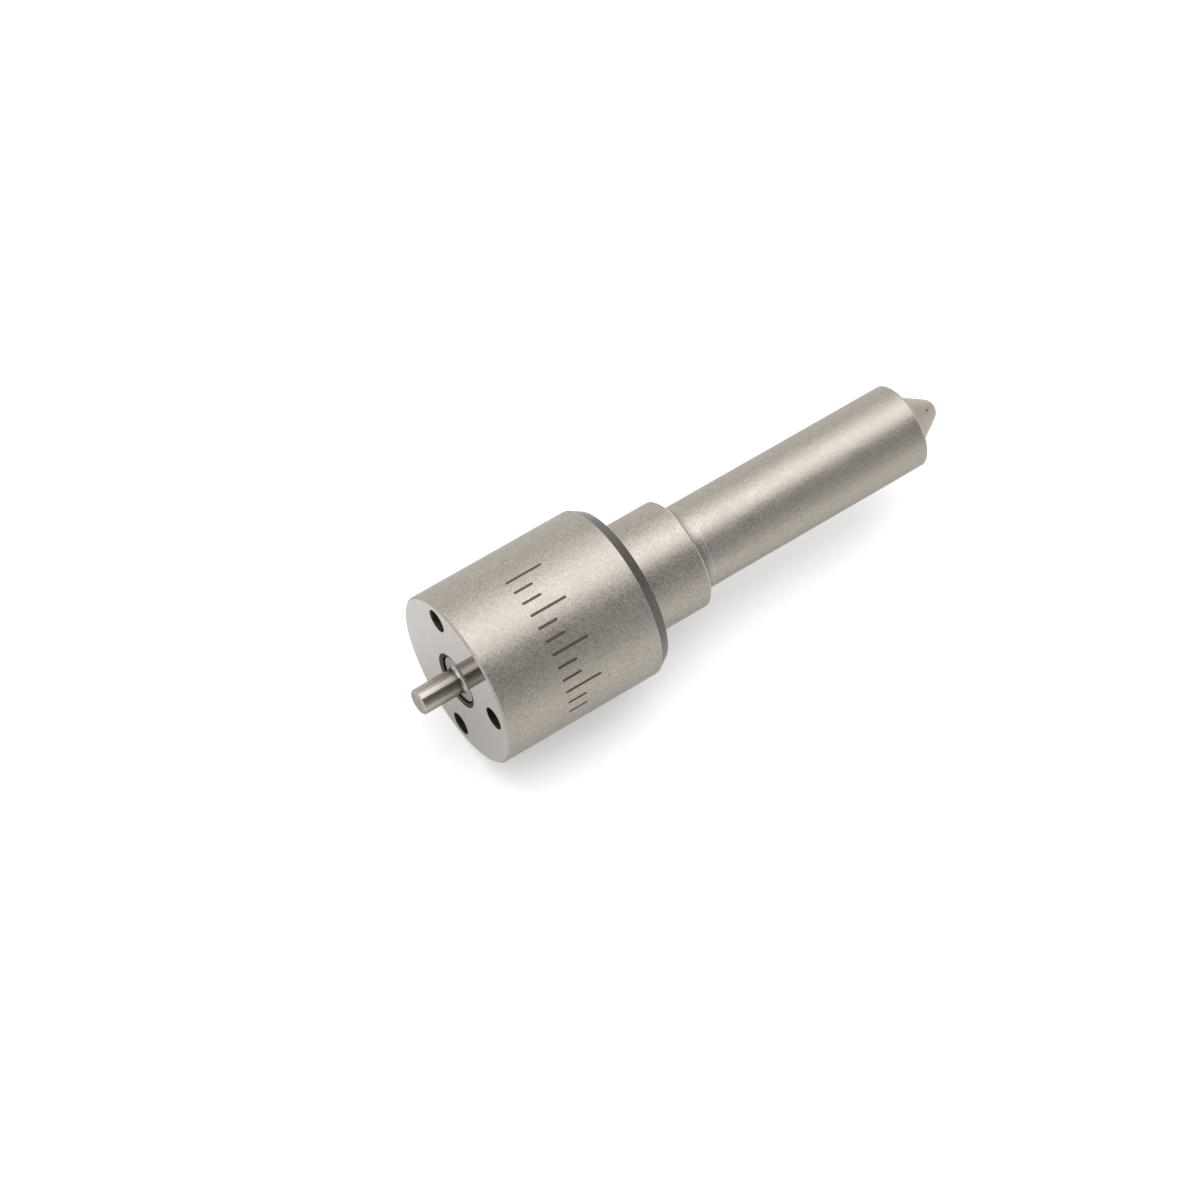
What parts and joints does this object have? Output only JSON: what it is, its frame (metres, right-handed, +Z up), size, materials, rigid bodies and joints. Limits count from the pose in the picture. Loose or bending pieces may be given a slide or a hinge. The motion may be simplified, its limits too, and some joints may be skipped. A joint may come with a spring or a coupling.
{
  "type": "fuel injector nozzle",
  "caption": "Slender diesel injector nozzle: a stepped steel body with a lapped back face and a conical tip, and a needle valve that slides in its bore.",
  "frame": {"origin": "centre of the lapped back face, on the nozzle's axis", "axes": "+X along the nozzle's axis towards the tip, +Z up as the nozzle lies on its side, +Y to the left of +X seen from above"},
  "size_m": [0.0487, 0.0142, 0.0142],
  "materials": {
    "body_steel": "satin ground, with a lapped back face",
    "needle_steel": "fine ground and lapped"
  },
  "bodies": {
    "nozzle_body": {"nozzle_body": "body_steel"},
    "needle_valve": {"needle_valve": "needle_steel"}
  },
  "joints": [
    {"name": "needle_slide", "type": "slide", "parent": "nozzle_body", "child": "needle_valve", "axis": [-1, 0, 0], "range_m": [0, 0.044]}
  ]
}
